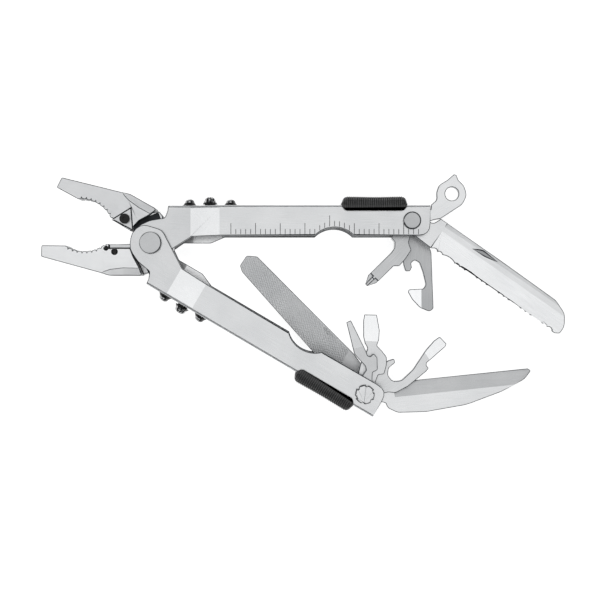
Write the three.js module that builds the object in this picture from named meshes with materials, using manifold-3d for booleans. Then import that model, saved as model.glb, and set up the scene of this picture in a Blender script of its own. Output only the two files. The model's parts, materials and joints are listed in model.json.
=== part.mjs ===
// A plier-type multi tool, lying flat and fanned open: two folded sheet handles hinged at the
// front, a blunt-nosed plier head between them, and nine folding implements on two rear axles.
// Units are millimetres. X runs along the upper handle, +Z is up from the side it lies on,
// and the origin is the main hinge axis at the face of the lower hinge rivet it rests on.
import * as THREE from 'three';
import { mergeVertices } from 'three/addons/utils/BufferGeometryUtils.js';
import Module from 'manifold-3d';

const wasm = await Module();
wasm.setup();

// ---- driving dimensions ----
const SHEET = 1.2;                 // handle sheet thickness
const OUTER = 7.6;                 // handle half width in z
const INNER = OUTER - SHEET;       // channel half width
const GAP = 0.3;                   // clearance between neighbouring pieces
const LAYER = 2.5;                 // pitch of the implement stack
const BLADE = 2.2;                 // implement thickness
const SPINE = 15.35;               // hinge centreline to the outside of a handle's spine
const SPINE_IN = SPINE - SHEET;
const EDGE = 3.0;                  // hinge centreline to a handle's open edge
const SPINE_FRONT = 7.0;
const HANDLE_END = 113.4;
const AXLE_X = 106;                // rear axle, in its handle's frame
const AXLE_Y = 9;
const RAMP = [16, 28];             // where the side walls step out behind the hinge
const LOBE_IN = 4.3;               // inner face of the hinge ear that lies inside
const LOBE_OUT = 5.8;              // inner face of the ear that lies outside it
const LOBE_R = 8.55;
const OPEN_ANGLE = 30.4;           // angle between the handles
const PIN_R = 2.4;
const HOLE_R = PIN_R + GAP;
const HEAD = 1.1;                  // height of the rear axles' heads
const RIVET_HEAD = 1.4;
const REST_Z = LOBE_OUT + SHEET + GAP + RIVET_HEAD;   // mid-plane above the table
const PRESS = 0.8;                 // travel of the release button
const STUDS = [15.1, 23.5, 32.0];  // studs on the spine: fixed, release button, fixed
const LOCK = [77.6, 104];          // implement lock slider, along the spine
const JAW_HALF = 5.2;              // half thickness of the jaws' noses
const KNUCKLE_HALF = 4.0;
const KNUCKLE_R = 8.5;

const STEEL = { color: 0xc9ccd0, roughness: 0.35, metalness: 1 };
const BRIGHT = { color: 0xdadce0, roughness: 0.22, metalness: 1 };
const FILE_STEEL = { color: 0x9a9c9e, roughness: 0.55, metalness: 1 };
const CARBIDE = { color: 0xb8babc, roughness: 0.4, metalness: 1 };
const BLACK = { color: 0x1c1c1e, roughness: 0.6, metalness: 0 };

const radians = THREE.MathUtils.degToRad;

// ---- solids: three.js geometry to manifold-3d and back ----
function solid(geometry) {
  const bare = geometry.clone();
  bare.deleteAttribute('normal');
  bare.deleteAttribute('uv');
  const merged = mergeVertices(bare, 1e-4);
  return new wasm.Manifold(new wasm.Mesh({
    numProp: 3,
    vertProperties: new Float32Array(merged.attributes.position.array),
    triVerts: new Uint32Array(merged.index.array),
  }));
}

function geometryOf(manifold) {
  const mesh = manifold.getMesh();
  const geometry = new THREE.BufferGeometry();
  geometry.setAttribute('position', new THREE.BufferAttribute(new Float32Array(mesh.vertProperties), 3));
  geometry.setIndex(new THREE.BufferAttribute(new Uint32Array(mesh.triVerts), 1));
  geometry.computeVertexNormals();
  return geometry;
}

// a closed outline from corner points [x, y, fillet radius]; a fillet is an arc of a few chords
function outline(corners) {
  const shape = new THREE.Shape();
  const at = (i) => new THREE.Vector2(...corners[(i + corners.length) % corners.length]);
  const points = [];
  corners.forEach((corner, i) => {
    const radius = corner[2] ?? 0;
    const here = at(i);
    const before = at(i - 1).sub(here);
    const after = at(i + 1).sub(here);
    const half = Math.acos(before.dot(after) / before.length() / after.length()) / 2;
    const back = Math.min(radius / Math.tan(half), before.length() * 0.49, after.length() * 0.49);
    if (radius === 0 || back < 0.05) {
      points.push(here);
      return;
    }
    const start = here.clone().addScaledVector(before.normalize(), back);
    const end = here.clone().addScaledVector(after.normalize(), back);
    const steps = Math.max(2, Math.min(6, Math.round((Math.PI - 2 * half) / 0.35)));
    for (let k = 0; k <= steps; k += 1) {
      const t = k / steps;
      points.push(new THREE.Vector2(
        start.x * (1 - t) ** 2 + 2 * here.x * t * (1 - t) + end.x * t * t,
        start.y * (1 - t) ** 2 + 2 * here.y * t * (1 - t) + end.y * t * t,
      ));
    }
  });
  shape.setFromPoints(points);
  return shape;
}

// a flat plate in the X-Y plane, from z = low to z = high
function plate(corners, low, high) {
  const geometry = new THREE.ExtrudeGeometry(outline(corners), { depth: high - low, bevelEnabled: false });
  geometry.translate(0, 0, low);
  return solid(geometry);
}

// a prism along Y whose section is drawn in X-Z, from y = low to y = high
function sidePrism(corners, low, high) {
  const geometry = new THREE.ExtrudeGeometry(outline(corners), { depth: high - low, bevelEnabled: false });
  geometry.rotateX(Math.PI / 2);
  geometry.translate(0, high, 0);
  return solid(geometry);
}

// a prism along X whose section is drawn in Y-Z, from x = low to x = high
function endPrism(corners, low, high) {
  const geometry = new THREE.ExtrudeGeometry(outline(corners), { depth: high - low, bevelEnabled: false });
  geometry.rotateX(Math.PI / 2);
  geometry.rotateZ(Math.PI / 2);
  geometry.translate(low, 0, 0);
  return solid(geometry);
}

function disc(radius, low, high, x = 0, y = 0, sides = 24) {
  const geometry = new THREE.CylinderGeometry(radius, radius, high - low, sides);
  geometry.rotateX(Math.PI / 2);
  geometry.translate(x, y, (low + high) / 2);
  return solid(geometry);
}

function box(x, y, z) {
  const geometry = new THREE.BoxGeometry(x[1] - x[0], y[1] - y[0], z[1] - z[0]);
  geometry.translate((x[0] + x[1]) / 2, (y[0] + y[1]) / 2, (z[0] + z[1]) / 2);
  return solid(geometry);
}

// a turned piece about Z; the profile is [radius, z] from axis to axis
function turned(profile, sides = 32) {
  const geometry = new THREE.LatheGeometry(profile.map(([r, z]) => new THREE.Vector2(r, z)), sides);
  geometry.rotateX(Math.PI / 2);
  return solid(geometry);
}

function join(...pieces) {
  return pieces.reduce((whole, piece) => whole.add(piece));
}

// the mirror image in the X-Z plane, for the lower handle's copies
function mirrored(manifold) {
  return manifold.mirror([0, 1, 0]);
}

function piece(name, manifold, finish) {
  const mesh = new THREE.Mesh(geometryOf(manifold), new THREE.MeshStandardMaterial(finish));
  mesh.name = name;
  return mesh;
}

// ---- handles: U channels of folded sheet ----
const EAR_TOP = [[3.5, 9.9, 1], [-0.6, 9.2, 6], [-6.2, 6.6, 6], [-8.9, 0.4, 6], [-7.0, -4.9, 5]];
const FINGER_NOTCH = [74.6, -4.8, 11.1];   // x, y and radius of the thumb-nail notch's circle

// outline of one side wall; only the far wall carries the tab that stops the handles
function wallOutline(tab) {
  const inner = tab
    ? [[1.4, -6.9, 4], [12.0, 0.5, 1], [23.2, 0.5, 2], [29.0, EDGE, 1]]
    : [[1.4, -6.9, 4], [16.3, 2.6, 1], [28.0, EDGE, 2]];
  return [
    [SPINE_FRONT, SPINE + 1], [6.7, 13.2, 1], [5.6, 10.2, 1.6], ...EAR_TOP, ...inner,
    [HANDLE_END, EDGE, 4.7], [HANDLE_END, SPINE + 1],
  ];
}

// the shell's section across z at each station: front ears, then full width behind the ramp
function wallBand(face, side) {
  const near = (z) => side * z;
  return [
    [-12, near(face)], [RAMP[0], near(face)], [RAMP[1], near(INNER)], [HANDLE_END + 1, near(INNER)],
    [HANDLE_END + 1, near(OUTER)], [RAMP[1], near(OUTER)], [RAMP[0], near(face + SHEET)],
    [-12, near(face + SHEET)],
  ];
}

function handle(nearFace, farFace) {
  const span = [-12, SPINE];
  const near = plate(wallOutline(false), 0, 10).intersect(sidePrism(wallBand(nearFace, 1), ...span));
  const far = plate(wallOutline(true), -10, 0).intersect(sidePrism(wallBand(farFace, -1), ...span));
  const width = sidePrism([
    [SPINE_FRONT, nearFace + SHEET], [RAMP[0], nearFace + SHEET], [RAMP[1], OUTER], [HANDLE_END, OUTER],
    [HANDLE_END, -OUTER], [RAMP[1], -OUTER], [RAMP[0], -farFace - SHEET], [SPINE_FRONT, -farFace - SHEET],
  ], SPINE_IN, SPINE);
  const notch = disc(FINGER_NOTCH[2], -10, 10, FINGER_NOTCH[0], FINGER_NOTCH[1], 64);
  const trackSlot = box([11.5, 76], [SPINE_IN - 1, SPINE + 1], [-1.7, 1.7]);
  const lockSlot = box([92, 103], [SPINE_IN - 1, SPINE + 1], [-1.4, 1.4]);
  const hinge = disc(2.2 + GAP, -10, 10);
  const axle = disc(HOLE_R, -10, 10, AXLE_X, AXLE_Y);
  return [notch, trackSlot, lockSlot, hinge, axle].reduce((body, cut) => body.subtract(cut), join(near, far, width));
}

// ---- hinge rivets, one through each pair of ears, and the jaws' own pin between them ----
function hingeRivet(side) {
  const rivet = turned([
    [0, LOBE_IN + 0.1], [2.2, LOBE_IN + 0.1], [2.2, LOBE_OUT + SHEET + GAP], [4.45, LOBE_OUT + SHEET + GAP],
    [4.45, REST_Z - 0.35], [4.1, REST_Z], [0, REST_Z],
  ], 48);
  return side > 0 ? rivet : rivet.mirror([0, 0, 1]);
}

function jawPin() {
  return disc(2.5, -KNUCKLE_HALF + 0.1, KNUCKLE_HALF - 0.1);
}

// ---- plier jaws, drawn closed with the grip on the centreline and the nose towards -X ----
const FACET_SLOPE = -17;
const GRIP = { x: -27.4, y: 11.0, radius: 14.3, from: -124, to: -54, teeth: 9, depth: 0.8 };

// the hollow of the grip as saw teeth along an arc
function gripTeeth() {
  const corners = [];
  for (let k = 0; k < GRIP.teeth; k += 1) {
    for (const [part, sink] of [[0.1, 0], [0.75, 0], [0.9, GRIP.depth]]) {
      const angle = radians(GRIP.from + (GRIP.to - GRIP.from) * (k + part) / GRIP.teeth);
      const reach = GRIP.radius + sink;
      corners.push([GRIP.x + reach * Math.cos(angle), GRIP.y + reach * Math.sin(angle)]);
    }
  }
  return corners;
}

// a jaw's nose: flat tip, hollow toothed grip, cutter seat and a shoulder round the knuckle
const SHOULDER_LOW = [[-8.9, -0.15], [-8.9, -1.7, 2], [-7.5, -5.3, 3], [-5.2, -9.7], [-3.9, -12.6, 0.6], [-4.6, -13.2, 0.4]];
const SHOULDER_HIGH = [[-9.9, -0.15], [-10.0, -1.7, 2], [-8.9, -5.6, 3], [-6.5, -9.4], [-5.2, -12.6, 0.6], [-5.9, -13.2, 0.4]];

function nose(shoulder) {
  const body = plate([
    [-45.2, -0.8, 0.6], ...gripTeeth(), [-18.6, -0.4], ...shoulder, [-17.5, -13.2, 3], [-21.2, -12.0, 4],
    [-45.4, -5.4, 0.8],
  ], -JAW_HALF, JAW_HALF);
  const tapered = body.intersect(sidePrism([
    [-46, -3.4], [-19, -JAW_HALF], [0, -JAW_HALF], [0, JAW_HALF], [-19, JAW_HALF], [-46, 3.4],
  ], -20, 5));
  return tapered.subtract(cornerFacet(1)).subtract(cornerFacet(-1));
}

// a bow-shaped facet on the jaw's outer corner: three sloping cuts, each along a line on the face
function cornerFacet(side) {
  const lines = [[-21.3, -12.1, -16.8, -10.6], [-16.8, -10.6, -11.5, -9.95], [-11.5, -9.95, -2.1, -10.2]];
  return lines.map(([x0, y0, x1, y1]) => {
    const wedge = box([-60, 60], [-30, 0], [0, 12]).rotate([-FACET_SLOPE, 0, 0]).translate([0, 0, JAW_HALF]);
    const turned = wedge.rotate([0, 0, Math.atan2(y1 - y0, x1 - x0) * 180 / Math.PI]).translate([x0, y0, 0]);
    return side > 0 ? turned : turned.mirror([0, 0, 1]);
  }).reduce((common, wedge) => common.intersect(wedge));
}

// half-lap knuckle and the tang that runs under the opposite handle's spine
function knuckle() {
  const eye = disc(KNUCKLE_R, -KNUCKLE_HALF, -GAP / 2, 0, 0, 48);
  const heel = plate([
    [-12, -2.5], [-9, -8], [-4.1, -12.7, 0.6], [-1.9, -11.9, 1], [-0.2, -9.6, 2], [3, -7], [0, 0], [-8, 0],
  ], -KNUCKLE_HALF, -GAP / 2);
  const web = plate([
    [-3, 6], [8.6, 13.5], [14, 13.5], [14, 10.7], [6, 2], [0, 0],
  ], -KNUCKLE_HALF, -GAP / 2);
  const strip = box([8.8, 34.5], [10.9, 13.4], [-1.3, 1.3]);
  const eyeClear = disc(2.5 + GAP, -10, 10);
  return join(eye, heel, web, strip).subtract(eyeClear);
}

// where the tang's studs pass through, blind holes for their shanks
function studHoles(jaw) {
  return STUDS.reduce((body, x) => body.subtract(studShank(0.6 + GAP, x)), jaw);
}

function studShank(radius, x) {
  const geometry = new THREE.CylinderGeometry(radius, radius, 6, 16);
  geometry.translate(x, 15, 0);
  return solid(geometry);
}

const STOP_PIN = { at: [-18.5, -2.1], radius: 0.5 };

function lowerJaw() {
  const cutterSeat = box([-17.4, -8.0], [-2.2, 1], [1.6, JAW_HALF + 1]);
  const screwSeat = disc(0.85 + GAP, 2.4, 10, -15.0, -3.5, 20);
  const stopSeat = disc(STOP_PIN.radius + GAP, 2.4, 10, ...STOP_PIN.at, 16);
  return studHoles(join(nose(SHOULDER_LOW), knuckle()).subtract(cutterSeat).subtract(screwSeat).subtract(stopSeat));
}

// the upper jaw is the same forging turned over, with a seat for the replaceable cutter
const CUTTER = [[-18.3, 0.5], [-14.4, 7.9], [-9.5, 0.9]];   // corners of the triangular cutter
const CUTTER_SCREW = [-14.3, 3.1];

function grown(corners, by) {
  const cx = corners.reduce((sum, [x]) => sum + x, 0) / corners.length;
  const cy = corners.reduce((sum, [, y]) => sum + y, 0) / corners.length;
  return corners.map(([x, y]) => {
    const reach = Math.hypot(x - cx, y - cy);
    return [x + (x - cx) * by / reach, y + (y - cy) * by / reach];
  });
}

function upperJaw() {
  const turnedOver = studHoles(join(nose(SHOULDER_HIGH).rotate([0, 0, -1]), knuckle())).rotate([180, 0, 0]);
  const seat = plate(grown(CUTTER, 2 * GAP), 2.6, 10);
  const screw = disc(1.1 + GAP, 1.0, 10, ...CUTTER_SCREW, 20);
  return turnedOver.subtract(seat).subtract(screw);
}

function cutterInsert() {
  return plate(CUTTER, 2.6 + GAP, JAW_HALF + 0.1).subtract(disc(1.1 + GAP, 0, 10, ...CUTTER_SCREW, 20));
}

function cutterScrew() {
  const head = disc(2.05, JAW_HALF + 0.4, JAW_HALF + 1.2, ...CUTTER_SCREW, 32);
  const shank = disc(1.1, 1.3, JAW_HALF + 0.6, ...CUTTER_SCREW, 20);
  const socket = disc(0.8, JAW_HALF + 0.7, 10, ...CUTTER_SCREW, 6);
  return join(head, shank).subtract(socket);
}

function anvilPlate() {
  return box([-17.0, -8.6], [-1.9, -0.45], [1.6 + GAP, JAW_HALF - 0.6]);
}

function anvilPin() {
  return disc(0.85, 2.7, JAW_HALF + 0.1, -15.0, -3.5, 20);
}

function stopPin() {
  return disc(STOP_PIN.radius, 2.7, JAW_HALF - 0.1, ...STOP_PIN.at, 16);
}

// ---- spine studs and the release button, turned about Y; lift is a stud's free travel ----
function stud(x, rise, top, lift = 0) {
  const flange = SPINE + GAP + lift;
  const shape = turned([
    [0, 0.4], [0.6, 0.4], [0.6, flange], [3.0, flange], [3.0, flange + 0.25], [2.4, flange + 0.5],
    [top + 0.3, flange + rise * 0.45], [top, flange + rise * 0.65], [top * 0.72, flange + rise * 0.92],
    [0, flange + rise],
  ].map(([r, y]) => [r, y === 0.4 ? SPINE_IN - 1.2 : y]), 24);
  return shape.rotate([-90, 0, 0]).translate([x, 0, 0]);
}

// ---- implement lock: a ribbed saddle over the spine with a tongue into the channel ----
function lockSlider() {
  const skirt = 12.9;
  const crown = 19.0;
  const half = REST_Z;
  const saddle = endPrism([
    [skirt, half, 0.8], [crown, half - 1.2, 2], [crown, 1.2 - half, 2], [skirt, -half, 0.8],
    [skirt, -OUTER - GAP], [SPINE + GAP, -OUTER - GAP], [SPINE + GAP, OUTER + GAP], [skirt, OUTER + GAP],
  ], ...LOCK);
  const ends = plate([
    [LOCK[0], 12, 0], [LOCK[0], 17.2], [LOCK[0] + 1.6, crown + 0.1], [LOCK[1] - 1.6, crown + 0.1],
    [LOCK[1], 17.2], [LOCK[1], 12, 0],
  ], -12, 12);
  const tongue = box([96.5, 101.5], [13.3, SPINE + 1], [-1.0, 1.0]);
  return join(saddle.intersect(ends), tongue);
}

// ---- rear axles with their heads ----
// six shallow finger hollows cut round a disc of that radius at the origin
function lobed(body, radius, low, high) {
  const hollows = Array.from({ length: 6 }, (_, k) => {
    const angle = radians(60 * k + 12);
    return disc(0.8, low, high, (radius + 0.25) * Math.cos(angle), (radius + 0.25) * Math.sin(angle), 16);
  });
  return hollows.reduce((left, hollow) => left.subtract(hollow), body);
}

function rearAxle(headRadius, hasLobes) {
  const axle = turned([
    [0, 2 * GAP - OUTER - GAP], [PIN_R, 2 * GAP - OUTER - GAP], [PIN_R, OUTER + GAP], [headRadius, OUTER + GAP],
    [headRadius, OUTER + GAP + HEAD * 0.6], [headRadius - 0.5, OUTER + GAP + HEAD], [0, OUTER + GAP + HEAD],
  ], 48);
  const finished = hasLobes ? lobed(axle, headRadius, OUTER + GAP / 2, OUTER + 3) : axle;
  return finished.translate([AXLE_X, AXLE_Y, 0]);
}

function axleNut(radius) {
  const low = -REST_Z;
  const nut = disc(radius, low, -OUTER - GAP, 0, 0, 48);
  return lobed(nut, radius, low - 1, -OUTER).translate([AXLE_X, AXLE_Y, 0]);
}

// ---- implements, each drawn with its axle at the origin, pointing along +X ----
const layerZ = (layer) => LAYER * (3 - layer);

// an implement's blank: its outline joined to the eye round the axle
function blank(corners, layer, layers = 1) {
  const low = layerZ(layer + layers - 1) - BLADE / 2;
  const high = layerZ(layer) + BLADE / 2;
  return plate(corners, low, high).add(disc(4.7, low, high, 0, 0, 40)).subtract(disc(HOLE_R, low - 1, high + 1));
}

// keep what lies inside a Y-Z section beyond x, and leave the tang whole
function ground(body, section, x) {
  return body.intersect(join(box([-20, x], [-30, 30], [-30, 30]), endPrism(section, x - 0.01, 120)));
}

function phillips() {
  const body = blank([
    [1.5, -4.2], [6, -3.6, 1], [10.2, -0.6, 1], [10.3, 1.4, 1], [12.2, 3.2, 1], [14.6, 3.6, 1], [27.6, 3.6, 0.4],
    [31.1, 5.4, 0.5], [31.1, 6.5, 0.5], [27.6, 8.2, 0.4], [17.6, 8.2, 0.6], [16.0, 9.8, 0.6], [12.4, 9.6, 1],
    [7.8, 8.6, 0.6], [7.0, 6.6, 0.4], [6.2, 5.4, 0.4], [3.0, 3.7],
  ], 3, 2);
  const middle = (layerZ(3) + layerZ(4)) / 2;
  const point = sidePrism([
    [-20, -9], [27.2, -9], [27.2, middle - 2.1], [31.3, middle - 0.6], [31.3, middle + 0.6],
    [27.2, middle + 2.1], [27.2, 9], [-20, 9],
  ], -20, 20);
  const flutes = [1, -1].flatMap((y) => [1, -1].map((z) => endPrism([
    [5.9 + y * 0.55, middle + z * 0.55], [5.9 + y * 0.55, middle + z * 4], [5.9 + y * 4, middle + z * 4],
    [5.9 + y * 4, middle + z * 0.55],
  ], 26.4, 40)));
  return flutes.reduce((tool, cut) => tool.subtract(cut), body.intersect(point));
}

function canOpener() {
  const body = blank([
    [2, -4.2], [8, -4.0, 1], [14.0, -2.7, 2], [17.6, -2.2, 0.8], [20.2, -1.4, 0.8], [20.2, 0.4, 0.6],
    [18.6, 1.2, 0.5], [16.8, 0.8, 0.8], [15.5, 2.4, 1], [16.6, 4.4, 1.5], [20.5, 5.8, 3], [25.9, 7.1, 1.5],
    [27.5, 6.0, 0.8], [27.8, 0.2, 0.5], [28.8, -0.3, 0.5], [32.0, 1.5, 4], [35.4, 4.6, 4], [37.1, 8.6, 1.5],
    [35.8, 10.2, 1], [12.3, 9.3, 3], [8.9, 8.0, 1], [7.8, 6.0, 0.5], [6.2, 4.2, 0.5], [3, 3.7],
  ], 5);
  const top = layerZ(5) + BLADE / 2;
  const ground = box([27.4, 40], [-20, 0], [0, 5]).rotate([12, 0, 0]).translate([0, 5.2, top]);
  return body.subtract(ground);
}

function scallops() {
  const unit = 10.9;
  const cuts = [];
  for (let start = 13.6; start < 70; start += unit) {
    cuts.push(disc(1.5, -10, 10, start + 1.3, -4.85, 20), disc(1.5, -10, 10, start + 3.7, -4.85, 20));
    if (start + 7.6 < 72) cuts.push(disc(6.6, -10, 10, start + 8.0, -9.75, 48));
  }
  return cuts;
}

function serratedBlade() {
  const z = layerZ(2);
  const body = blank([
    [4.5, -4.0, 0.5], [12.6, -4.4, 0.3], [13.9, -3.8, 0.3], [74.6, -4.3, 0.5], [76.3, -3.3, 1], [76.4, 0.0, 5],
    [73.3, 4.5, 5], [67.2, 7.0, 6], [40, 7.6], [9.5, 7.8, 0.3], [8.2, 4.4, 2], [3, 3.7],
  ], 2);
  const section = [
    [8.4, z - 1.1], [8.4, z + 0.72], [6.0, z + 1.1], [3.6, z + 1.1], [-3.8, z + 0.22], [-5.4, z + 0.1], [-5.4, z - 1.1],
  ];
  const nick = plate([[27.2, 5.0], [31, 6.9, 3], [38.6, 6.4], [33, 5.3, 6]], z + 0.6, z + 2);
  return scallops().reduce((tool, cut) => tool.subtract(cut), ground(body, section, 12.8)).subtract(nick);
}

function lanyardRing() {
  const body = blank([
    [4.6, 2.5, 1], [9.0, -0.5, 0.4], [10.3, 1.2, 0.8], [13.2, 1.5, 2], [14.8, 4.2, 2], [17.2, 6.1, 2.5],
    [21.3, 6.0, 3], [24.8, 6.5, 0.4], [25.4, 5.6, 0.5], [24.9, 3.6, 2], [25.6, 0.5, 3], [24.6, -3.6, 4],
    [20.8, -5.7, 4], [10.4, -5.7, 1], [7.9, -4.6, 1], [4, -3.6],
  ], 1);
  return body.subtract(disc(2.75, -10, 10, 19.7, 0.3, 40));
}

function fileBlade() {
  const z = layerZ(5);
  const body = blank([
    [3, 4.6], [70.8, 4.7, 1.2], [73.3, 3.6, 0.8], [74.6, -1.2, 1.2], [71.4, -4.3, 1.5], [14.1, -7.6, 2],
    [7.0, -6.9, 1], [5.6, -4.4, 1], [2, -3.8],
  ], 5);
  const nick = plate([[24.4, -6.2], [31.6, -5.7, 1], [28, -4.8, 3]], z + 0.7, z + 2);
  return body.subtract(nick);
}

function narrowDriver() {
  const z = layerZ(1);
  const body = blank([
    [2, 3.9], [6.2, 0.5, 1], [8.1, -1.6, 0.4], [9.3, -2.9, 0.5], [10.9, -2.9, 1], [13.4, -1.5, 2], [16.6, 0.3, 2],
    [30.0, 0.5, 0.3], [30.4, -1.5, 0.3], [17.0, -4.5, 0.5], [14.8, -4.8, 0.5], [14.2, -5.8, 0.5], [15.2, -7.4, 0.8],
    [13.2, -8.4, 1.2], [8.3, -7.4, 0.8], [7.8, -5.2, 0.5], [5.2, -4.4, 0.5], [2, -4.0],
  ], 1);
  const tip = [
    [-20, z - 2], [-20, z + 2], [19, z + BLADE / 2], [30.6, z + 0.35], [30.6, z - 0.35], [19, z - BLADE / 2],
  ];
  return body.intersect(sidePrism(tip, -30, 30));
}

function wideDriver() {
  const z = layerZ(2);
  const body = blank([
    [2, 3.9], [6.4, 3.2, 1], [12, 2.2, 2], [18.5, -0.4, 1.5], [20.4, 0.9, 1], [23.2, 1.7, 2], [29.5, 2.1, 1],
    [32.2, 1.8, 0.3], [32.4, -3.3, 0.3], [26.0, -4.8, 2], [22.2, -4.7, 1], [19.8, -4.0, 1], [17.6, -6.4, 1.5],
    [15.4, -8.3, 2], [12.4, -8.5, 1], [8.4, -7.7, 0.8], [7.9, -5.3, 0.5], [5.2, -4.4, 0.5], [2, -4.0],
  ], 2);
  const tip = [
    [-20, z - 2], [-20, z + 2], [21.5, z + BLADE / 2], [32.6, z + 0.45], [32.6, z - 0.45], [21.5, z - BLADE / 2],
  ];
  return body.intersect(sidePrism(tip, -30, 30));
}

function bottleOpener() {
  const z = layerZ(3);
  const body = blank([
    [2, 4.2], [10.5, 4.4, 2], [15.6, 5.0, 1], [18.4, 4.2, 0.6], [17.6, 2.6, 0.5], [14.3, 2.4, 1.5], [12.2, 0.2, 2],
    [12.4, -3.2, 2.5], [15.6, -4.9, 2.5], [22.0, -4.0, 4], [31.2, -0.5, 4], [36.0, 0.6, 2], [38.9, 0.6, 0.5],
    [39.5, -3.4, 0.4], [38.4, -4.1, 0.4], [28.2, -5.0, 0.4], [27.5, -5.8, 0.4], [27.7, -7.2, 0.5], [26.2, -7.7, 0.8],
    [16.5, -8.4, 3], [10.6, -7.6, 2], [8.3, -5.6, 1], [5.6, -4.5, 0.5], [2, -4.0],
  ], 3);
  const tip = [
    [-20, z - 2], [-20, z + 2], [30.0, z + BLADE / 2], [39.6, z + 0.4], [39.6, z - 0.4], [30.0, z - BLADE / 2],
  ];
  return body.intersect(sidePrism(tip, -30, 30));
}

function plainBlade() {
  const z = layerZ(4);
  const body = blank([
    [2, 3.9], [7, 3.4, 1], [12.5, 2.7, 1], [68.9, 2.6, 0.3], [70.1, 1.6, 0.6], [67.0, -1.6, 6], [57.0, -5.7, 20],
    [42.0, -9.6, 20], [25.0, -10.8, 12], [13.2, -9.9, 4], [9.4, -7.6, 2], [8.7, -5.4, 0.8], [6.2, -4.5, 1], [2, -4.0],
  ], 4);
  const section = [
    [-12, z - 1.1], [-12, z + 1.1], [-3.4, z + 1.1], [1.4, z + 0.4], [2.8, z + 0.1], [2.8, z - 0.1],
    [1.4, z - 0.4], [-3.4, z - 1.1],
  ];
  return ground(body, section, 12.8);
}

// ---- assembly ----
const model = new THREE.Group();
model.position.z = REST_Z;

function seat(parent, tool, degrees) {
  tool.position.set(AXLE_X, parent.userData.side * AXLE_Y, 0);
  tool.rotation.z = radians(degrees);
  parent.add(tool);
}

// everything fixed to one handle; the lower handle's copies are mirrored
function handleGroup(word, side, nearFace, farFace, headRadius) {
  const group = new THREE.Group();
  group.userData.side = side;
  const flip = (manifold) => (side > 0 ? manifold : mirrored(manifold));
  group.add(piece(`${word}_handle`, flip(handle(nearFace, farFace)), STEEL));
  group.add(piece(`${word}_front_stud`, flip(stud(STUDS[0], 2.9, 1.9)), BRIGHT));
  group.add(piece(`${word}_release_button`, flip(stud(STUDS[1], 3.0, 2.1, PRESS)), BRIGHT));
  group.add(piece(`${word}_rear_stud`, flip(stud(STUDS[2], 2.8, 1.9)), BRIGHT));
  group.add(piece(`${word}_lock_slider`, flip(lockSlider()), BLACK));
  group.add(piece(`${word}_rear_axle`, flip(rearAxle(headRadius, side < 0)), BRIGHT));
  group.add(piece(`${word}_axle_nut`, flip(axleNut(3.6)), BRIGHT));
  return group;
}

const upper = handleGroup('upper', 1, LOBE_IN, LOBE_OUT, 3.6);
upper.add(piece('lower_jaw', lowerJaw(), STEEL));
upper.add(piece('anvil_plate', anvilPlate(), CARBIDE));
upper.add(piece('anvil_pin', anvilPin(), BLACK));
upper.add(piece('anvil_stop_pin', stopPin(), BLACK));
upper.add(piece('jaw_pin', jawPin(), STEEL));
upper.add(piece('near_hinge_rivet', hingeRivet(1), BRIGHT));
upper.add(piece('far_hinge_rivet', hingeRivet(-1), BRIGHT));
seat(upper, piece('lanyard_ring', lanyardRing(), STEEL), 33);
seat(upper, piece('serrated_blade', serratedBlade(), STEEL), -34.5);
seat(upper, piece('phillips_driver', phillips(), STEEL), -135.5);
seat(upper, piece('can_opener', canOpener(), STEEL), -90);
model.add(upper);

const lower = handleGroup('lower', -1, LOBE_OUT, LOBE_IN, 3.9);
lower.rotation.z = -radians(OPEN_ANGLE);
lower.add(piece('upper_jaw', upperJaw(), STEEL));
lower.add(piece('cutter_insert', cutterInsert(), CARBIDE));
lower.add(piece('cutter_screw', cutterScrew(), BLACK));
seat(lower, piece('narrow_driver', narrowDriver(), STEEL), 103.3 + OPEN_ANGLE);
seat(lower, piece('wide_driver', wideDriver(), STEEL), 86.6 + OPEN_ANGLE);
seat(lower, piece('bottle_opener', bottleOpener(), STEEL), 35.5 + OPEN_ANGLE);
seat(lower, piece('plain_blade', plainBlade(), STEEL), 6 + OPEN_ANGLE);
seat(lower, piece('file', fileBlade(), FILE_STEEL), 131.5 + OPEN_ANGLE);
model.add(lower);

export default model;
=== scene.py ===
"""A plier-type multi tool lying fanned open: the looks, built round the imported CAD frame."""

import json
import math

import bmesh
import bpy
from mathutils import Matrix, Vector


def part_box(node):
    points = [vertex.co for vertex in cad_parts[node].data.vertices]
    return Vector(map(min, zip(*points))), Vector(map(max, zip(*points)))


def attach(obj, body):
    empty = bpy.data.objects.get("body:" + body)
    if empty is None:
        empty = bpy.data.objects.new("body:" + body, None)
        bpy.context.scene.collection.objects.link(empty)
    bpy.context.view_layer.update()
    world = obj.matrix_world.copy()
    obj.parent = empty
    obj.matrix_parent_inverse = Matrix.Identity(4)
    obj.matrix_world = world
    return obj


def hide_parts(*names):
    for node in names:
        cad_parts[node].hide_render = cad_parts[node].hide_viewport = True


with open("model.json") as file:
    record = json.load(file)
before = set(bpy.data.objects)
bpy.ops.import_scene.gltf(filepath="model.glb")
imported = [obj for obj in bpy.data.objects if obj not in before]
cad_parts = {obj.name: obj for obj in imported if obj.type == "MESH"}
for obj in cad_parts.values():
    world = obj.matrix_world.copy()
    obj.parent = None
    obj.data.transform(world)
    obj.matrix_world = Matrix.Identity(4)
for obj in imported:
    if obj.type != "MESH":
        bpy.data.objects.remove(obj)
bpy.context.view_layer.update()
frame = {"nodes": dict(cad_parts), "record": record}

MM = 0.001                        # one millimetre; lengths below are in mm unless they carry it
OPEN = math.radians(-30.4)        # the lower handle's turn from the upper one
HALF_WIDTH = 7.6                  # a handle's half width in z, mm
MID = 8.7                         # height of the tool's mid-plane, mm
AXLE = (106.0, 9.0)               # rear axle in the handle's own frame, mm
EDGE = 3.0                        # y of a handle's open edge, mm
SPINE = 15.35                     # y of the spine's outer face, mm
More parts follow.
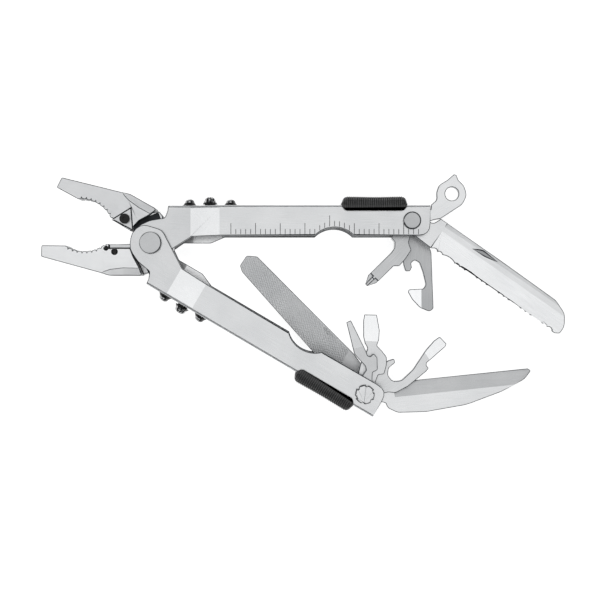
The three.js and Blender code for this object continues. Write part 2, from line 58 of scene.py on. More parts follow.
# each tool's turn from the X axis, in degrees, for the brushing and the file's teeth
TURN = {
    "lanyard_ring": 33, "serrated_blade": -34.5, "phillips_driver": -135.5, "can_opener": -90,
    "narrow_driver": 103.3, "wide_driver": 86.6, "bottle_opener": 35.5, "plain_blade": 6,
    "file": 131.5,
}
SAME_PLANE = 0.99999              # cosine above which two faces count as one plane
LEAST_CORNER = 0.004              # determinant below which three planes have no useful corner
FARTHEST_SETTLE = 0.6 * MM        # a vertex is never put back from farther away than this
RIM_STEEPEST = 60                 # degrees; steeper faces are sides and get no rim band
FACET = (12, 40)                  # degrees of slope of the jaws' ground facets
FLAT_LIKE = 0.94                  # a face whose normal's z is above this is nearly flat
WALL_AREA = 60 * MM * MM          # an upright face this big is a plain wall
CLEARLY_SHARP = 32                # degrees at an edge that is worth easing
REAL_CORNER = 40                  # degrees at an edge that is shaded sharp
SLIGHT_CORNER = 1.5               # the same between nearly flat faces or at a plain wall
MERGE = 0.002 * MM                # vertices closer than this are one
COPLANAR = 0.6                    # degrees; faces closer than this are merged
LOCK_X = (77.6, 104.0)            # ends of a lock slider along its handle
LOCK_FOOT, LOCK_BEND = 12.95, 17.3   # y of its skirts' lower edge and of the bends at its top
LOCK_INNER = (7.92, 7.95, 15.7)   # half width inside, least half width of a skirt, skirt's top y
LOCK_END = 2.3                    # length over which its ends round off
RIB, RIB_DEPTH = 0.88, 0.25       # pitch and depth of its ribs
STUD_FOOT = 3.02                  # radius of a stud's foot, painted near-black as shadow
SHAFT = 0.6                       # radius of a stud's shank
BELL = (2.35, 1.78)               # radius and height of the hollow under a release button
COLLAR = (0.75, 2.2, 0.78)        # inner and outer radius and height of the collar inside it
TICKS = 39
TICK_START, TICK_STEP = 32.6, 2.0
NOTCH = (74.6, -4.8, 11.1)        # centre and radius of the arc the ticks follow round the notch

BODY_OF = {
    node: body
    for body, nodes in frame["record"]["behaviour"]["bodies"].items()
    for node in nodes
}


# ---- materials ----
def new_material(name, color, metallic, roughness):
    m = bpy.data.materials.new(name)
    m.use_nodes = True
    shader = m.node_tree.nodes["Principled BSDF"]
    shader.inputs["Base Color"].default_value = (*color, 1)
    shader.inputs["Metallic"].default_value = metallic
    shader.inputs["Roughness"].default_value = roughness
    return m, m.node_tree, shader


def node(tree, kind, **inputs):
    n = tree.nodes.new(kind)
    for key, value in inputs.items():
        n.inputs[key.replace("_", " ")].default_value = value
    return n


def millimetres(tree, turn=0.0, stretch=(1, 1, 1)):
    """Object coordinates in millimetres, turned in the X-Y plane, then stretched."""
    coords = tree.nodes.new("ShaderNodeTexCoord")
    turned = tree.nodes.new("ShaderNodeMapping")
    turned.inputs["Rotation"].default_value = (0, 0, -math.radians(turn))
    turned.inputs["Scale"].default_value = (1000, 1000, 1000)
    scaled = tree.nodes.new("ShaderNodeMapping")
    scaled.inputs["Scale"].default_value = stretch
    tree.links.new(coords.outputs["Object"], turned.inputs["Vector"])
    tree.links.new(turned.outputs["Vector"], scaled.inputs["Vector"])
    return scaled.outputs["Vector"]


def ramp_of(tree, source, low, high, at=(0.3, 0.7)):
    ramp = tree.nodes.new("ShaderNodeValToRGB")
    ramp.color_ramp.elements[0].position, ramp.color_ramp.elements[1].position = at
    ramp.color_ramp.elements[0].color = (*low, 1)
    ramp.color_ramp.elements[1].color = (*high, 1)
    tree.links.new(source, ramp.inputs["Fac"])
    return ramp.outputs["Color"]


def grey(value, tint=0.0):
    return (value - tint, value, value + tint)


def steel(name, turn=0, light=0.8, dark=0.72, rough=0.36, blast=0.5, brush=0.35):
    """Satin stainless: blasted grain, faint brushing along the piece, cloudy handling marks."""
    m, tree, shader = new_material(name, grey(light), 1.0, rough)
    cloud = node(tree, "ShaderNodeTexNoise", Scale=0.07, Detail=3.0)
    tree.links.new(millimetres(tree, turn), cloud.inputs["Vector"])
    base = ramp_of(tree, cloud.outputs["Fac"], grey(dark, 0.006), grey(light, 0.004))
    tree.links.new(base, shader.inputs["Base Color"])
    lines = node(tree, "ShaderNodeTexNoise", Scale=1.0, Detail=4.0)
    tree.links.new(millimetres(tree, turn, (0.12, 7, 7)), lines.inputs["Vector"])
    gloss = ramp_of(tree, lines.outputs["Fac"], grey(rough - 0.07), grey(rough + 0.08))
    tree.links.new(gloss, shader.inputs["Roughness"])
    grit = node(tree, "ShaderNodeTexNoise", Scale=5.0, Detail=2.0)
    tree.links.new(millimetres(tree), grit.inputs["Vector"])
    bumps = node(tree, "ShaderNodeBump", Strength=blast, Distance=0.000012)
    tree.links.new(grit.outputs["Fac"], bumps.inputs["Height"])
    brushed = node(tree, "ShaderNodeBump", Strength=brush, Distance=0.00001)
    tree.links.new(lines.outputs["Fac"], brushed.inputs["Height"])
    tree.links.new(bumps.outputs["Normal"], brushed.inputs["Normal"])
    tree.links.new(brushed.outputs["Normal"], shader.inputs["Normal"])
    return m


def polished(name, light=0.86, rough=0.12):
    m, tree, shader = new_material(name, grey(light), 1.0, rough)
    smear = node(tree, "ShaderNodeTexNoise", Scale=0.8, Detail=4.0)
    tree.links.new(millimetres(tree), smear.inputs["Vector"])
    gloss = ramp_of(tree, smear.outputs["Fac"], grey(rough * 0.7), grey(rough * 1.8))
    tree.links.new(gloss, shader.inputs["Roughness"])
    return m


def black(name, tone=0.02, rough=0.45, metallic=0.0, grain=0.6):
    m, tree, shader = new_material(name, grey(tone), metallic, rough)
    wear = node(tree, "ShaderNodeTexNoise", Scale=0.6, Detail=5.0)
    tree.links.new(millimetres(tree), wear.inputs["Vector"])
    base = ramp_of(tree, wear.outputs["Fac"], grey(tone * 0.6), grey(tone * 1.8))
    tree.links.new(base, shader.inputs["Base Color"])
    pits = node(tree, "ShaderNodeTexNoise", Scale=6.0, Detail=2.0)
    tree.links.new(millimetres(tree), pits.inputs["Vector"])
    bumps = node(tree, "ShaderNodeBump", Strength=grain, Distance=0.00003)
    tree.links.new(pits.outputs["Fac"], bumps.inputs["Height"])
    tree.links.new(bumps.outputs["Normal"], shader.inputs["Normal"])
    return m


# ---- making pieces ----
def add_piece(name, mesh, body, material, stands_for=()):
    obj = bpy.data.objects.new(name, mesh)
    bpy.context.scene.collection.objects.link(obj)
    mesh.materials.clear()
    mesh.materials.append(material)
    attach(obj, body)
    if stands_for:
        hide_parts(*stands_for)
    return obj


def apply_modifiers(obj):
    bpy.context.view_layer.update()
    graph = bpy.context.evaluated_depsgraph_get()
    mesh = bpy.data.meshes.new_from_object(obj.evaluated_get(graph))
    obj.modifiers.clear()
    obj.data = mesh


def smooth_by_angle(mesh, degrees):
    for p in mesh.polygons:
        p.use_smooth = True
    mesh.set_sharp_from_angle(angle=math.radians(degrees))


def settle(vertex, planes):
    """Put a shifted vertex back on its face's plane, or on the crease where two planes meet."""
    distinct = []
    for normal, level in planes:
        if all(normal.dot(n) < SAME_PLANE for n, _ in distinct):
            distinct.append((normal, level))
    n1, d1 = distinct[0]
    others = sorted(distinct[1:], key=lambda plane: plane[0].dot(n1))
    miss1 = d1 - n1.dot(vertex.co)
    if not others:
        vertex.co += n1 * miss1
        return
    n2, d2 = others[0]
    if len(others) > 1:
        n3, d3 = others[1]
        corner = Matrix((n1, n2, n3))
        if abs(corner.determinant()) > LEAST_CORNER:
            spot = corner.inverted() @ Vector((d1, d2, d3))
            if (spot - vertex.co).length < FARTHEST_SETTLE:
                vertex.co = spot
                return
    c = n1.dot(n2)
    miss2 = d2 - n2.dot(vertex.co)
    scale = 1 / (1 - c * c)
    shift = n1 * ((miss1 - c * miss2) * scale) + n2 * ((miss2 - c * miss1) * scale)
    vertex.co += shift if shift.length < FARTHEST_SETTLE else n1 * miss1


def band_round(bm, region, width):
    """Inset a patch of faces; the band of new faces round it is returned."""
    return bmesh.ops.inset_region(
        bm, faces=region, thickness=width * MM, use_boundary=True, use_even_offset=False)["faces"]


def rims(bm, width, drop, sign, settled):
    """Ease the outline of what faces up (sign 1) or down (-1): a band that falls away outward,
    marked to be painted near-black as edge shade.
    """
    mark = bm.faces.layers.int["rim"]
    steepest = math.cos(math.radians(RIM_STEEPEST))
    region = [f for f in bm.faces if f.normal.z * sign > steepest]
    planes = {f: (f.normal.copy(), f.normal.dot(f.verts[0].co)) for f in region}
    made = band_round(bm, region, width)
    inner = {*region, *made}
    for f in made:
        f[mark] = 1
    ring = {v for f in made for v in f.verts}
    for v in ring:
        if any(g not in inner for g in v.link_faces):
            v.co.z -= sign * drop * MM
        elif settled and any(g in planes for g in v.link_faces):
            settle(v, [planes[g] for g in v.link_faces if g in planes])


def creases(bm, width):
    """Mark a fine band where a ground facet meets a flat, to be painted near-black as a shade line.
    """
    mark = bm.faces.layers.int["rim"]
    region = [f for f in bm.faces if FACET[0] < tilt(f) < FACET[1]]
    facets = set(region)
    edges = [
        e for f in region for e in f.edges
        if any(g not in facets and tilt(g) < FACET[0] for g in e.link_faces)
    ]
    line = {v for e in edges for v in e.verts}
    for f in band_round(bm, region, width):
        f[mark] = int(sum(v in line for v in f.verts) >= 2)


def refined(name, width=0.0, segments=3, spine=None, rim=0.26, drop=0.07, crease=0.0,
            settled=True):
    """A copy of a CAD node's mesh with its flats merged and its edges eased; sizes in mm.

    width: round bevel on sharp edges, or only on those that spine picks. rim, drop: the outline
    band's width and fall; the band is painted near-black as edge shade. crease: width of the line
    round ground facets, painted near-black as shade."""
    mesh = frame["nodes"][name].data.copy()
    mesh.name = name + "_eased"
    bm = bmesh.new()
    bm.from_mesh(mesh)
    bm.faces.layers.int.new("rim")
    slope = bm.faces.layers.float.new("slope")
    bmesh.ops.remove_doubles(bm, verts=bm.verts, dist=MERGE)
    bmesh.ops.dissolve_limit(
        bm, angle_limit=math.radians(COPLANAR), verts=bm.verts, edges=bm.edges,
        use_dissolve_boundaries=False,
    )
    if width:
        sharp = [
            e for e in bm.edges
            if len(e.link_faces) == 2 and e.calc_face_angle(0) > math.radians(CLEARLY_SHARP)
            and (spine is None or spine(e))
        ]
        bmesh.ops.bevel(
            bm, geom=sharp, offset=width * MM, segments=segments, profile=0.5,
            affect="EDGES", offset_type="OFFSET", clamp_overlap=spine is None)
    if spine or crease:
        least = 12 if spine else 4
        many = [f for f in bm.faces if len(f.verts) > least and tilt(f) < RIM_STEEPEST]
        bmesh.ops.triangulate(bm, faces=many, ngon_method="EAR_CLIP")
    bm.normal_update()
    for f in bm.faces:
        f[slope] = tilt(f)
    if crease:
        creases(bm, crease)
    if rim:
        for sign in (1, -1):
            bm.normal_update()
            rims(bm, rim, drop, sign, settled)
    low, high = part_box(name)
    for v in bm.verts:
        v.co = [min(max(v.co[i], low[i]), high[i]) for i in range(3)]
    bm.to_mesh(mesh)
    bm.free()
    keep_flats_flat(mesh)
    obj = bpy.data.objects.new("tmp", mesh)
    bpy.context.scene.collection.objects.link(obj)
    obj.modifiers.new("even", "WEIGHTED_NORMAL").keep_sharp = True
    apply_modifiers(obj)
    out = obj.data
    bpy.data.objects.remove(obj)
    return out


def keep_flats_flat(mesh):
    """Mark sharp: real corners, and even small angles between nearly flat faces or at big walls."""
    bm = bmesh.new()
    bm.from_mesh(mesh)
    for f in bm.faces:
        f.smooth = True
    for e in bm.edges:
        if len(e.link_faces) != 2:
            continue
        flat = all(abs(f.normal.z) > FLAT_LIKE for f in e.link_faces)
        wall = any(
            abs(f.normal.z) < 0.05 and f.calc_area() > WALL_AREA for f in e.link_faces)
        least = SLIGHT_CORNER if flat or wall else REAL_CORNER
        e.smooth = e.calc_face_angle(0) < math.radians(least)
    bm.to_mesh(mesh)
    bm.free()


def tilt(face):
    """Degrees between a face and the tool's flat plane, 0 to 90."""
    return math.degrees(math.acos(min(1.0, abs(face.normal.z))))


def eased_piece(name, materials, zones=None, **more):
    """A refined node. zones maps a face and its slope to one of the materials, mostly tones of
    painted light and shade; rim bands come last, painted near-black as edge shade.
    """
    mesh = refined(name, **more)
    if not isinstance(materials, (list, tuple)):
        materials = [materials]
    add_piece(name + "_finished", mesh, BODY_OF[name], materials[0], [name])
    for m in (*materials[1:], painted_dark_edge):
        mesh.materials.append(m)
    marks, slopes = (mesh.attributes[key].data for key in ("rim", "slope"))
    for p in mesh.polygons:
        if marks[p.index].value:
            p.material_index = len(materials)
        else:
            p.material_index = zones(p, slopes[p.index].value) if zones else 0


def flat_ground_side(limit=30.0, swage=None, faces=None, level=1.5):
    """Material 0 on flats, 1 on ground faces, 2 on edges and sides, 3 on a steeper swage, if any:
    tones of painted light and shade, 2 mostly the darkest, as painted edge shade.

    faces are the heights of the two broad faces: a flat between them is a cut's floor, material 2,
    painted shade in the cut."""
    def zones(p, t):
        if t < level:
            # a cut's floor takes material 2, painted shade in the cut
            sunk = faces and faces[0] + 0.3 * MM < p.center.z < faces[1] - 0.3 * MM
            return 2 if sunk else 0
        if t > limit:
            return 2
        return 3 if swage and t > swage else 1
    return zones


def to_row(x, y, z, lower=False):
    """A handle-frame point in mm to the row frame in metres."""
    if lower:
        y = -y
        x, y = x * math.cos(OPEN) - y * math.sin(OPEN), x * math.sin(OPEN) + y * math.cos(OPEN)
    return Vector((x * MM, y * MM, (z + MID) * MM))


# ---- handles ----
def spine_corner(lower):
    """Picks the long outer edges of a handle's spine; short ones at its ends are left alone."""
    turn = Matrix.Rotation(-OPEN if lower else 0.0, 3, "Z")

    def is_corner(edge):
        a, b = (turn @ v.co for v in edge.verts)
        along = (b - a).length > MM and abs((b - a).normalized().x) > 0.98
        on_spine = all(abs(abs(p.y) / MM - SPINE) < 0.02 for p in (a, b))
        return along and on_spine and all(abs(p.z / MM - MID) > 5.2 for p in (a, b))
    return is_corner


BOX_FACES = (
    (0, 1, 3, 2), (4, 6, 7, 5), (0, 4, 5, 1), (2, 3, 7, 6), (0, 2, 6, 4), (1, 5, 7, 3))


def ruler_ticks():
    """Thin dark bars every 2 mm, long every 10 mm, along the open edge and round the notch."""
    bm = bmesh.new()
    centre_x, centre_y, radius = NOTCH
    for k in range(TICKS):
        x = TICK_START + TICK_STEP * k
        reach = radius ** 2 - (x - centre_x) ** 2
        base = max(EDGE, centre_y + math.sqrt(reach) if reach > 0 else 0) + 0.45
        top = base + (4.5 if k % 5 == 0 else 2.1)
        low, high = HALF_WIDTH - 0.08, HALF_WIDTH + 0.03
        corners = [
            (x + dx, y, z) for dx in (-0.13, 0.13) for y in (base, top) for z in (low, high)]
        v = [bm.verts.new(to_row(*c)) for c in corners]
        for f in BOX_FACES:
            bm.faces.new([v[i] for i in f])
    mesh = bpy.data.meshes.new("ruler_ticks")
    bm.to_mesh(mesh)
    bm.free()
    return mesh


# ---- lathed studs ----
def lathe(profile, centre, axis, sides=64):
    """A turned mesh: profile is [radius mm, height mm] from the foot's centre to the top's."""
    to_axis = Vector(axis).to_track_quat("Z", "X").to_matrix()
    circle = [2 * math.pi * i / sides for i in range(sides)]
    bm = bmesh.new()
    rings = []
    for r, h in profile:
        if r == 0:
            rings.append([bm.verts.new(centre + to_axis @ Vector((0, 0, h * MM)))])
            continue
        rings.append([
            bm.verts.new(centre + to_axis @ Vector((
                r * MM * math.cos(a), r * MM * math.sin(a), h * MM)))
            for a in circle
        ])
    for a, b in zip(rings, rings[1:]):
        for i in range(sides):
            j = (i + 1) % sides
            if len(a) == 1:
                bm.faces.new((a[0], b[j], b[i]))
            elif len(b) == 1:
                bm.faces.new((a[i], a[j], b[0]))
            else:
                bm.faces.new((a[i], a[j], b[j], b[i]))
    bmesh.ops.recalc_face_normals(bm, faces=bm.faces)
    mesh = bpy.data.meshes.new("turned")
    bm.to_mesh(mesh)
    bm.free()
    smooth_by_angle(mesh, 40)
    return mesh


def stud_profile(rise, top, foot):
    """Shank, wide foot and a bell-shaped dome; heights in mm over the spine's face. The foot is
    painted near-black as shadow in studs.
    """
    waist = foot + rise * 0.5
    dome = [
        (top * math.cos(a) ** 0.8, waist + rise * 0.5 * math.sin(a))
        for a in (math.pi / 2 * k / 10 for k in range(10))
    ]
    flare = [
        (STUD_FOOT - (STUD_FOOT - top) * (k / 6) ** 0.8, foot + 0.2 + (rise * 0.5 - 0.2) * k / 6)
        for k in range(6)
    ]
    return [(STUD_FOOT, foot), *flare, *dome, (0, foot + rise)]


def studs(dome_steel, painted_shade_steel, painted_shadow_steel):
    """Two fixed studs and, between them, the release button: a hollow bell over a fixed collar.
    Their lower parts are painted near-black as shadow; each stud's dome is painted dark as shade
    but for one bright side, and the button has dark stripes painted as the shade of its knurl's
    grooves and a dark top.
    """
    # place along the handle, rise, radius at the top, height of the foot over the spine
    places = {"front_stud": (15.1, 2.9, 2.0, 0.1), "release_button": (23.5, 3.0, 2.25, 0.9),
              "rear_stud": (32.0, 2.8, 2.0, 0.1)}
    inside_radius, outside_radius, height = COLLAR
    collar_profile = [(inside_radius, 0), (outside_radius, 0), (outside_radius, height),
                      (inside_radius, height), (inside_radius, 0)]
    for side, lower in (("upper", False), ("lower", True)):
        out = Vector((math.sin(OPEN), -math.cos(OPEN), 0)) if lower else Vector((0, 1, 0))
        along = Vector((math.cos(OPEN), math.sin(OPEN), 0)) if lower else Vector((1, 0, 0))
        for word, (x, rise, top, foot) in places.items():
            name = f"{side}_{word}"
            button = word == "release_button"
            centre = to_row(x, SPINE, 0, lower)
            hollow = [(SHAFT, BELL[1]), BELL, (BELL[0], foot)]
            under = hollow if button else [(SHAFT, foot)]
            profile = [(0, -2.4), (SHAFT, -2.4), *under, *stud_profile(rise, top, foot)]
            mesh = lathe(profile, centre, out)
            add_piece(name + "_turned", mesh, BODY_OF[name], dome_steel, [name])
            mesh.materials.append(painted_shade_steel)
            mesh.materials.append(painted_shadow_steel)
            # painted light and shade: the lower part near-black as shadow; on a stud, the dome dark
            # as shade but for one bright side; on the button, dark stripes as the shade of its
            # knurl's grooves and a dark top
            for p in mesh.polygons:
                reach = p.center - centre
                share = (reach.dot(out) / MM - foot) / rise
                turn = math.degrees(math.atan2(reach.z, reach.dot(along)))
                if share < (0.2 if button else 0.45):
                    p.material_index = 2
                elif button:
                    p.material_index = 2 * (turn % 36 < 13) if share < 0.9 else 1
                else:
                    p.material_index = int(turn < 75 or share > 0.93)
            if button:
                collar = lathe(collar_profile, centre, out)
                add_piece(
                    f"{side}_button_collar", collar, f"{side}_frame", painted_shadow_steel)


# ---- lock sliders ----
def lock_section(count):
    """The saddle's outer profile as points [y, z] from one skirt to the other."""
    half = [(LOCK_FOOT, 8.62), (LOCK_BEND, 8.62), (18.9, 7.0)]
    corners = half + [(y, -z) for y, z in reversed(half)]
    lengths = [math.dist(a, b) for a, b in zip(corners, corners[1:])]
    total = sum(lengths)
    points = []
    for k in range(count + 1):
        s = total * k / count
        for (a, b), length in zip(zip(corners, corners[1:]), lengths):
            if s <= length + 1e-9:
                t = s / length
                points.append((a[0] + (b[0] - a[0]) * t, a[1] + (b[1] - a[1]) * t))
                break
            s -= length
    return points


def lock_mesh(lower):
    """Ribbed saddle: fine ribs run over it from skirt to skirt; its ends are rounded and plain."""
    along, around = 240, 64
    x0, x1 = LOCK_X
    half_inside, half_skirt, skirt_top = LOCK_INNER
    section = lock_section(around)
    bm = bmesh.new()
    grid = []
    for i in range(along + 1):
        x = x0 + (x1 - x0) * i / along
        end = min(x - x0, x1 - x)
        full = math.sqrt(max(0.06, 1 - (1 - min(end, LOCK_END) / LOCK_END) ** 2))
        waist = 0.2 * math.cos(math.pi * (x - (x0 + x1) / 2) / (x1 - x0)) ** 2
        row = []
        for k, (y, z) in enumerate(section):
            in_ribs = 1.0 < end and 5 < k < around - 5
            wave = 0.5 + 0.5 * math.cos(2 * math.pi * (x - x0) / RIB)
            rib = RIB_DEPTH * wave if in_ribs else 0.0
            y_in = 15.9 + (y - 15.9) * full - (waist + rib) * (y > LOCK_BEND)
            pull = (rib + 2.2 * (1 - full) * (y > skirt_top)) * (abs(z) > 6.8)
            z_in = z - math.copysign(pull, z)
            if y < skirt_top:
                z_in = math.copysign(max(abs(z_in), half_skirt), z)
            row.append(bm.verts.new(to_row(x, y_in, z_in, lower)))
        grid.append(row)
    for a, b in zip(grid, grid[1:]):
        for k in range(around):
            bm.faces.new((a[k], b[k], b[k + 1], a[k + 1]))
    inner = [(y, z * half_inside) for y, z in ((15.3, 1), (15.68, 1), (15.68, -1), (15.3, -1))]
    caps = []
    for x in (x0, x1):
        caps.append([bm.verts.new(to_row(x, y, z, lower)) for y, z in inner])
    for k in range(3):
        bm.faces.new((caps[0][k], caps[0][k + 1], caps[1][k + 1], caps[1][k]))
    for row, cap in ((grid[0], caps[0]), (grid[-1], caps[1])):
        bm.faces.new([*row, cap[3], cap[2], cap[1], cap[0]])
    for k, cap_k in ((0, 0), (around, 3)):
        bm.faces.new([*(row[k] for row in grid), caps[1][cap_k], caps[0][cap_k]])
    tongue = bmesh.ops.create_cube(bm, size=1.0)["verts"]
    for v in tongue:
        v.co = to_row(99.0 + v.co.x * 5.0, 14.6 + v.co.y * 2.6, v.co.z * 2.0, lower)
    bmesh.ops.recalc_face_normals(bm, faces=bm.faces)
    mesh = bpy.data.meshes.new("lock")
    bm.to_mesh(mesh)
    bm.free()
    smooth_by_angle(mesh, 50)
    return mesh


# ---- file teeth ----
FILE_OUTLINE = [
    (16.6, -6.9), (15.0, -2.2), (12.2, 4.3), (70.6, 4.3), (73.0, 3.3), (74.2, -1.2),
    (71.2, -4.0), (60.0, -4.7)]


def inside(x, y, outline):
    hit = False
    for (ax, ay), (bx, by) in zip(outline, outline[1:] + outline[:1]):
        if (ay > y) != (by > y) and x < ax + (y - ay) * (bx - ax) / (by - ay):
            hit = not hit
    return hit


def file_teeth(face_sign):
    """A toothed skin over one face of the file: two sets of diagonal cuts leave small diamonds."""
    step = 0.15
    start_x, start_y = 12, -7
    margin = (-0.12, 0.12)
    base = -5.0 + face_sign * 1.1
    turn = math.radians(TURN["file"])
    lower_axle = to_row(*AXLE, 0, True)
    bm = bmesh.new()
    made = {}

    def corner(i, j):
        if (i, j) not in made:
            x, y = start_x + i * step, start_y + j * step
            over = 2 * math.pi * (x * math.cos(1.13) + y * math.sin(1.13)) / 0.86
            up = 2 * math.pi * (x * math.cos(0.55) - y * math.sin(0.55)) / 0.72
            tooth = 0.5 + 0.3 * math.cos(over) + 0.2 * math.cos(up)
            z = base + face_sign * (-0.12 + 0.3 * tooth)
            wx = x * math.cos(turn) - y * math.sin(turn)
            wy = x * math.sin(turn) + y * math.cos(turn)
            made[i, j] = bm.verts.new(lower_axle + Vector((wx * MM, wy * MM, z * MM)))
        return made[i, j]

    for i in range(int(62.5 / step)):
        for j in range(int(12 / step)):
            x, y = start_x + (i + 0.5) * step, start_y + (j + 0.5) * step
            if all(inside(x + dx, y + dy, FILE_OUTLINE) for dx in margin for dy in margin):
                quad = [corner(i, j), corner(i + 1, j), corner(i + 1, j + 1), corner(i, j + 1)]
                bm.faces.new(quad if face_sign > 0 else quad[::-1])
    rim = [e for e in bm.edges if len(e.link_faces) == 1]
    skirt = bmesh.ops.extrude_edge_only(bm, edges=rim)["geom"]
    depth = (MID + base - face_sign * 0.2) * MM
    for v in skirt:
        if isinstance(v, bmesh.types.BMVert):
            v.co.z = depth
    bmesh.ops.recalc_face_normals(bm, faces=bm.faces)
    mesh = bpy.data.meshes.new("file_teeth")
    bm.to_mesh(mesh)
    bm.free()
    smooth_by_angle(mesh, 60)
    return mesh


# ---- build ----
# each tool's steel in tones for flats, ground faces, edges: painted light and shade by slope, the
# edges darker as painted shade, and tools lying deeper in the fan, such as the can opener, painted
# darker as shade
TOOL_LIT_AND_SHADED_TONES = {
    "lanyard_ring": (0.7, 0.7, 0.35), "serrated_blade": (0.67, 0.78, 0.3),
    "phillips_driver": (0.5, 0.7, 0.5), "can_opener": (0.42, 0.9, 0.3),
    "narrow_driver": (0.52, 0.6, 0.3), "wide_driver": (0.62, 0.84, 0.3),
    "bottle_opener": (0.62, 0.84, 0.3), "plain_blade": (0.7, 0.47, 0.3),
}


# copies of one steel in several tones, one per zone, as painted light and shade
def lit_and_shaded_tones(name, turn, values, rough=0.3, **more):
    return [
        steel(f"{name}_{k}", turn, v + 0.03, v - 0.03, rough, **more)
        for k, v in enumerate(values)
    ]


# each handle's steel in six tones, one per zone of handle_zones: painted light on the ramp, spine
# and bends, painted shade on the ears, edges and the far wall's inside
handle_steel = lit_and_shaded_tones("handle_steel", 0, (0.62, 0.77, 0.86, 0.58, 0.35, 0.45))
lower_steel = lit_and_shaded_tones("lower_handle_steel", -30.4, (0.64, 0.79, 0.82, 0.6, 0.35, 0.45))
# jaw tones for flats, ground faces, edges and the hinge's shoulder and knuckle: edges darker as
# painted shade, the knuckle near-black on the upper jaw and darker on the lower as painted shadow
upper_jaw_steel = lit_and_shaded_tones("upper_jaw_steel", -30, (0.66, 0.74, 0.3, 0.02), 0.4, blast=1.0, brush=0.1)
lower_jaw_steel = lit_and_shaded_tones("lower_jaw_steel", 0, (0.76, 0.82, 0.3, 0.6), 0.4, blast=1.0, brush=0.1)
bright = polished("polished_steel", 0.5, 0.08)
# painted shade and shadow for the studs: a dark steel for the shaded parts of the domes, a
# near-black one for the feet, the button's stripes and its collar
stud_shade_steel = polished("painted_shade_polished_steel", 0.13, 0.15)
shadow_steel = polished("painted_shadow_polished_steel", 0.02, 0.2)
cap_steel = steel("cap_steel", 20, 0.52, 0.46, 0.3)
head_steel = steel("head_steel", 0, 0.46, 0.41, 0.28)
lower_head = steel("lower_head_steel", 0, 0.68, 0.6, 0.28)
# painted edge shade: a darker steel for the edges and sides of the file, rivets and axle parts
edge_shade_steel = steel("edge_shade_steel", 0, 0.36, 0.3, 0.3)
# painted shade: near-black steel for the rim bands round every flat and the lines along facet
# creases
painted_dark_edge = steel("rim_line_steel", 0, 0.06, 0.04, 0.3)
grip_black = black("ribbed_black", 0.035, 0.3)
rib_shadow = black("rib_shadow_black", 0.006, 0.5)
oxide = black("black_oxide", 0.008, 0.35, metallic=0.6, grain=0.2)
tick_ink = black("ruler_ink", 0.05, 0.5)
# the cutter's flats, ground faces and edges, the edges darker as painted shade
cutter_steel = lit_and_shaded_tones("cutter_steel", 20, (0.55, 0.6, 0.25))
file_body = steel("file_body", 131.5, 0.6, 0.55, 0.4)
file_skin = steel("file_teeth_steel", 131.5, 0.68, 0.58, 0.42, brush=0.0)


def handle_zones(lower):
    """Flats 0, the ramp 1, spine and bends 2, ears 3, other edges 4, the far wall's inside 5: tones
    of painted light and shade, lighter on the ramp, spine and bends, darker on the ears, edges and
    the far wall's inside.
    """
    turn = Matrix.Rotation(-OPEN if lower else 0.0, 3, "Z")

    def zones(p, t):
        centre = turn @ p.center
        if t > 25:
            return 2 if abs(centre.y) > 13.6 * MM and abs(centre.y) < 15.4 * MM else 4
        if t > 2:
            return 1
        if p.normal.z > 0 and centre.z < MID * MM:
            return 5
        return 3 if centre.x < 16.5 * MM else 0
    return zones


# each handle takes its tones by zone, painted light and shade
for side, lit_and_shaded_steel, lower in (("upper", handle_steel, False), ("lower", lower_steel, True)):
    eased_piece(side + "_handle", lit_and_shaded_steel, handle_zones(lower),
                width=1.15, segments=4, spine=spine_corner(lower))


def jaw_zones(p, t):
    """The shoulder and knuckle round the hinge take material 3, painted shadow; the rest as
    flat_ground_side.
    """
    near_hinge = math.hypot(p.center.x, p.center.y) < 10.6 * MM
    below_face = p.center.z < (MID + 4.6) * MM
    if near_hinge and (below_face or t > 30):
        return 3
    return flat_ground_side(30, level=5)(p, t)


# the jaws' facet creases get lines painted near-black as shade
eased_piece("upper_jaw", upper_jaw_steel, jaw_zones, crease=0.3)
eased_piece("lower_jaw", lower_jaw_steel, jaw_zones, crease=0.26)
for name, values in TOOL_LIT_AND_SHADED_TONES.items():
    swage = 8 if name == "serrated_blade" else None
    # the serrated blade's steeper swage gets a darker tone, painted shade
    values = (*values, 0.6) if swage else values
    low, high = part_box(name)
    zones = flat_ground_side(30, swage, (low.z, high.z))
    eased_piece(name, lit_and_shaded_tones(name + "_steel", TURN[name], values), zones, settled=not swage)
# the file, rivets and axle parts take the darker steel on edges and sides, painted shade
eased_piece("file", [file_body, file_body, edge_shade_steel], flat_ground_side())
for name in ("near_hinge_rivet", "far_hinge_rivet"):
    eased_piece(name, [cap_steel, cap_steel, edge_shade_steel], flat_ground_side(50))
for name in ("upper_rear_axle", "upper_axle_nut"):
    eased_piece(name, [head_steel, head_steel, edge_shade_steel], flat_ground_side(50), width=0.15)
for name in ("lower_rear_axle", "lower_axle_nut"):
    eased_piece(name, [lower_head, lower_head, edge_shade_steel], flat_ground_side(50), rim=0.34)
eased_piece("jaw_pin", head_steel, rim=0)
eased_piece("cutter_insert", cutter_steel, flat_ground_side(), rim=0.2)
eased_piece("anvil_plate", cutter_steel, flat_ground_side(), rim=0.2)
eased_piece("cutter_screw", oxide, rim=0)
eased_piece("anvil_pin", oxide, rim=0)
eased_piece("anvil_stop_pin", oxide, rim=0)
studs(bright, stud_shade_steel, shadow_steel)
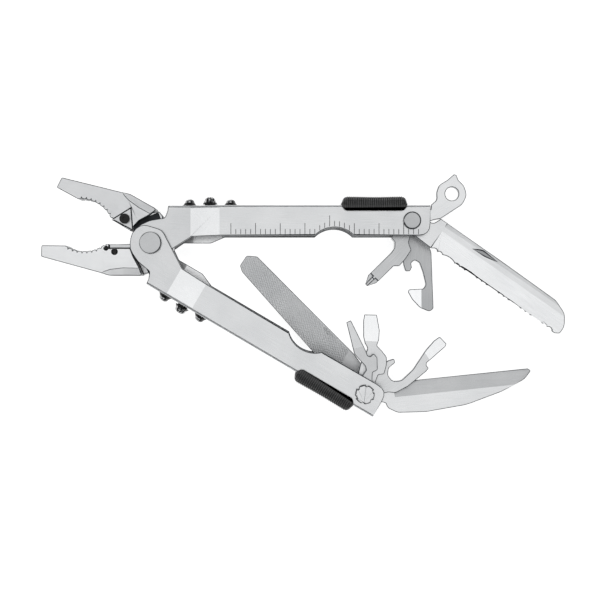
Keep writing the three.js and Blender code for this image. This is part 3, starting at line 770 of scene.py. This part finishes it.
for side, lower in (("upper", False), ("lower", True)):
    name = f"{side}_lock_slider"
    grip = add_piece(name + "_ribbed", lock_mesh(lower), name, grip_black, [name])
    grip.data.materials.append(rib_shadow)
    for p in grip.data.polygons:
        x, y = p.center.xy / MM
        along = x * math.cos(OPEN) + y * math.sin(OPEN) if lower else x
        p.material_index = int(math.cos(2 * math.pi * (along - LOCK_X[0]) / RIB) > 0.2)
add_piece("ruler", ruler_ticks(), "upper_frame", tick_ink)
for word, sign in (("near", 1), ("far", -1)):
    add_piece(f"file_teeth_{word}", file_teeth(sign), "file", file_skin)

# ---- floor, light and camera ----
bpy.ops.mesh.primitive_plane_add(size=8, location=(0.06, -0.02, 0))
floor = bpy.context.object
floor.name = "floor"
floor_look = bpy.data.materials.new("floor_white")
floor_look.use_nodes = True
floor_shader = floor_look.node_tree.nodes["Principled BSDF"]
floor_shader.inputs["Base Color"].default_value = (0.6, 0.6, 0.6, 1)
floor_shader.inputs["Roughness"].default_value = 0.9
floor_shader.inputs["Specular IOR Level"].default_value = 0.0
floor_shader.inputs["Emission Color"].default_value = (1, 1, 1, 1)
floor_shader.inputs["Emission Strength"].default_value = 0.78
floor.data.materials.append(floor_look)

world = bpy.data.worlds.new("studio")
world.use_nodes = True
world.node_tree.nodes["Background"].inputs["Color"].default_value = (0.5, 0.52, 0.54, 1)
world.node_tree.nodes["Background"].inputs["Strength"].default_value = 0.3
bpy.context.scene.world = world


def softbox(name, place, aim, size, watts):
    light = bpy.data.lights.new(name, "AREA")
    light.shape = "SQUARE"
    light.size = size
    light.energy = watts
    obj = bpy.data.objects.new(name, light)
    obj.location = place
    obj.rotation_mode = "QUATERNION"
    obj.rotation_quaternion = (Vector(aim) - Vector(place)).to_track_quat("-Z", "Y")
    bpy.context.scene.collection.objects.link(obj)


softbox("top_box", (0.02, 0.03, 0.95), (0.06, -0.02, 0), 1.4, 6.0)
softbox("left_box", (-0.9, 0.1, 0.6), (0.03, 0, 0), 0.5, 1.2)

camera_data = bpy.data.cameras.new("camera")
camera_data.lens = 36.0 * 400.0 / 243.0
camera_data.sensor_width = 36.0
camera = bpy.data.objects.new("camera", camera_data)
camera.location = (60.6 * MM, -23.2 * MM, (MID + HALF_WIDTH + 400.0) * MM)
bpy.context.scene.collection.objects.link(camera)
bpy.context.scene.camera = camera
bpy.context.scene.view_settings.view_transform = "Standard"
